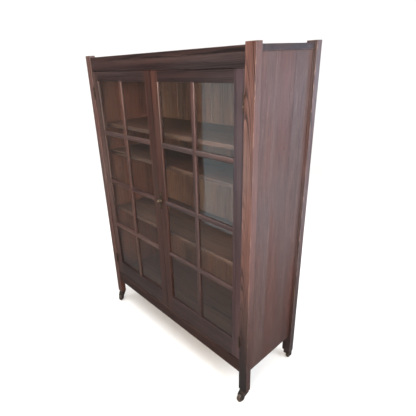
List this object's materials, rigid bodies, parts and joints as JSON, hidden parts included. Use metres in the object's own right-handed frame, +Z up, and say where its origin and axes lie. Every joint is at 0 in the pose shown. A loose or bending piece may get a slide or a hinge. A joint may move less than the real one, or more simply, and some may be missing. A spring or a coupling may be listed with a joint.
{
  "type": "bookcase with glass doors",
  "caption": "Free-standing dark oak bookcase with hinged, divided glass doors, adjustable shelves and swivel casters under its square corner posts.",
  "frame": {"origin": "on the floor under the middle of the case, at the centre of the footprint", "axes": "+X to the right seen from the front, +Y to the back (the doors face -Y), +Z up"},
  "size_m": [1.026, 0.3994, 1.42],
  "materials": {
    "dark_oak": "worn satin varnish",
    "inner_oak": "satin varnish",
    "glass": "clear, slightly wavy",
    "aged_brass": "darkened",
    "caster_iron": "dull, browned",
    "wheel_wood": "worn, bare"
  },
  "bodies": {
    "case": {"front_left_post": "dark_oak", "front_right_post": "dark_oak", "rear_left_post": "dark_oak", "rear_right_post": "dark_oak", "top_board": "dark_oak", "top_rail": "dark_oak", "bottom_rail": "dark_oak", "rear_top_rail": "inner_oak", "rear_bottom_rail": "inner_oak", "left_side_panel": "dark_oak", "right_side_panel": "dark_oak", "bottom_board": "inner_oak", "back_boards": "inner_oak", "upper_shelf": "inner_oak", "middle_shelf": "inner_oak", "lower_shelf": "inner_oak", "shelf_pegs": "aged_brass", "door_stop": "inner_oak", "bolt_keeper": "aged_brass", "left_case_hinge_leaves": "aged_brass", "right_case_hinge_leaves": "aged_brass", "left_hinge_pins": "aged_brass", "right_hinge_pins": "aged_brass", "caster_sockets": "caster_iron"},
    "left_door": {"left_hinge_stile": "dark_oak", "left_meeting_stile": "dark_oak", "left_door_top_rail": "dark_oak", "left_door_bottom_rail": "dark_oak", "left_vertical_muntin": "dark_oak", "left_horizontal_muntins": "dark_oak", "left_glass_panes": "glass", "left_glazing_beads": "inner_oak", "left_door_hinge_leaves": "aged_brass", "bolt_guide": "aged_brass"},
    "right_door": {"right_hinge_stile": "dark_oak", "right_meeting_stile": "dark_oak", "right_door_top_rail": "dark_oak", "right_door_bottom_rail": "dark_oak", "right_vertical_muntin": "dark_oak", "right_horizontal_muntins": "dark_oak", "right_glass_panes": "glass", "right_glazing_beads": "inner_oak", "right_door_hinge_leaves": "aged_brass", "latch_plate": "aged_brass"},
    "latch": {"latch_knob": "aged_brass", "latch_tongue": "aged_brass"},
    "bolt": {"door_bolt": "aged_brass"},
    "front_left_caster": {"front_left_caster_horn": "caster_iron", "front_left_caster_axle": "caster_iron"},
    "front_left_wheel": {"front_left_caster_wheel": "wheel_wood"},
    "front_right_caster": {"front_right_caster_horn": "caster_iron", "front_right_caster_axle": "caster_iron"},
    "front_right_wheel": {"front_right_caster_wheel": "wheel_wood"},
    "rear_left_caster": {"rear_left_caster_horn": "caster_iron", "rear_left_caster_axle": "caster_iron"},
    "rear_left_wheel": {"rear_left_caster_wheel": "wheel_wood"},
    "rear_right_caster": {"rear_right_caster_horn": "caster_iron", "rear_right_caster_axle": "caster_iron"},
    "rear_right_wheel": {"rear_right_caster_wheel": "wheel_wood"}
  },
  "joints": [
    {"name": "left_door_swing", "type": "hinge", "parent": "case", "child": "left_door", "pos_m": [-0.472, -0.1789, 0.782], "axis": [0, 0, -1], "range_deg": [0, 170]},
    {"name": "right_door_swing", "type": "hinge", "parent": "case", "child": "right_door", "pos_m": [0.472, -0.1789, 0.782], "axis": [0, 0, 1], "range_deg": [0, 170]},
    {"name": "latch_turn", "type": "hinge", "parent": "right_door", "child": "latch", "pos_m": [0.011, -0.163, 0.809], "axis": [0, -1, 0], "range_deg": [0, 90]},
    {"name": "bolt_slide", "type": "slide", "parent": "left_door", "child": "bolt", "axis": [0, 0, 1], "range_m": [0, 0.014]},
    {"name": "front_left_swivel", "type": "hinge", "parent": "case", "child": "front_left_caster", "pos_m": [-0.493, -0.1615, 0.075], "axis": [0, 0, 1], "continuous": true},
    {"name": "front_left_roll", "type": "hinge", "parent": "front_left_caster", "child": "front_left_wheel", "pos_m": [-0.48497, -0.17872, 0.019], "axis": [0.9063, 0.4226, 0], "continuous": true},
    {"name": "front_right_swivel", "type": "hinge", "parent": "case", "child": "front_right_caster", "pos_m": [0.493, -0.1615, 0.075], "axis": [0, 0, 1], "continuous": true},
    {"name": "front_right_roll", "type": "hinge", "parent": "front_right_caster", "child": "front_right_wheel", "pos_m": [0.4897, -0.18021, 0.019], "axis": [0.9848, -0.1736, 0], "continuous": true},
    {"name": "rear_left_swivel", "type": "hinge", "parent": "case", "child": "rear_left_caster", "pos_m": [-0.493, 0.1615, 0.075], "axis": [0, 0, 1], "continuous": true},
    {"name": "rear_left_roll", "type": "hinge", "parent": "rear_left_caster", "child": "rear_left_wheel", "pos_m": [-0.4897, 0.18021, 0.019], "axis": [-0.9848, 0.1736, 0], "continuous": true},
    {"name": "rear_right_swivel", "type": "hinge", "parent": "case", "child": "rear_right_caster", "pos_m": [0.493, 0.1615, 0.075], "axis": [0, 0, 1], "continuous": true},
    {"name": "rear_right_roll", "type": "hinge", "parent": "rear_right_caster", "child": "rear_right_wheel", "pos_m": [0.4897, 0.18021, 0.019], "axis": [-0.9848, -0.1736, 0], "continuous": true}
  ]
}
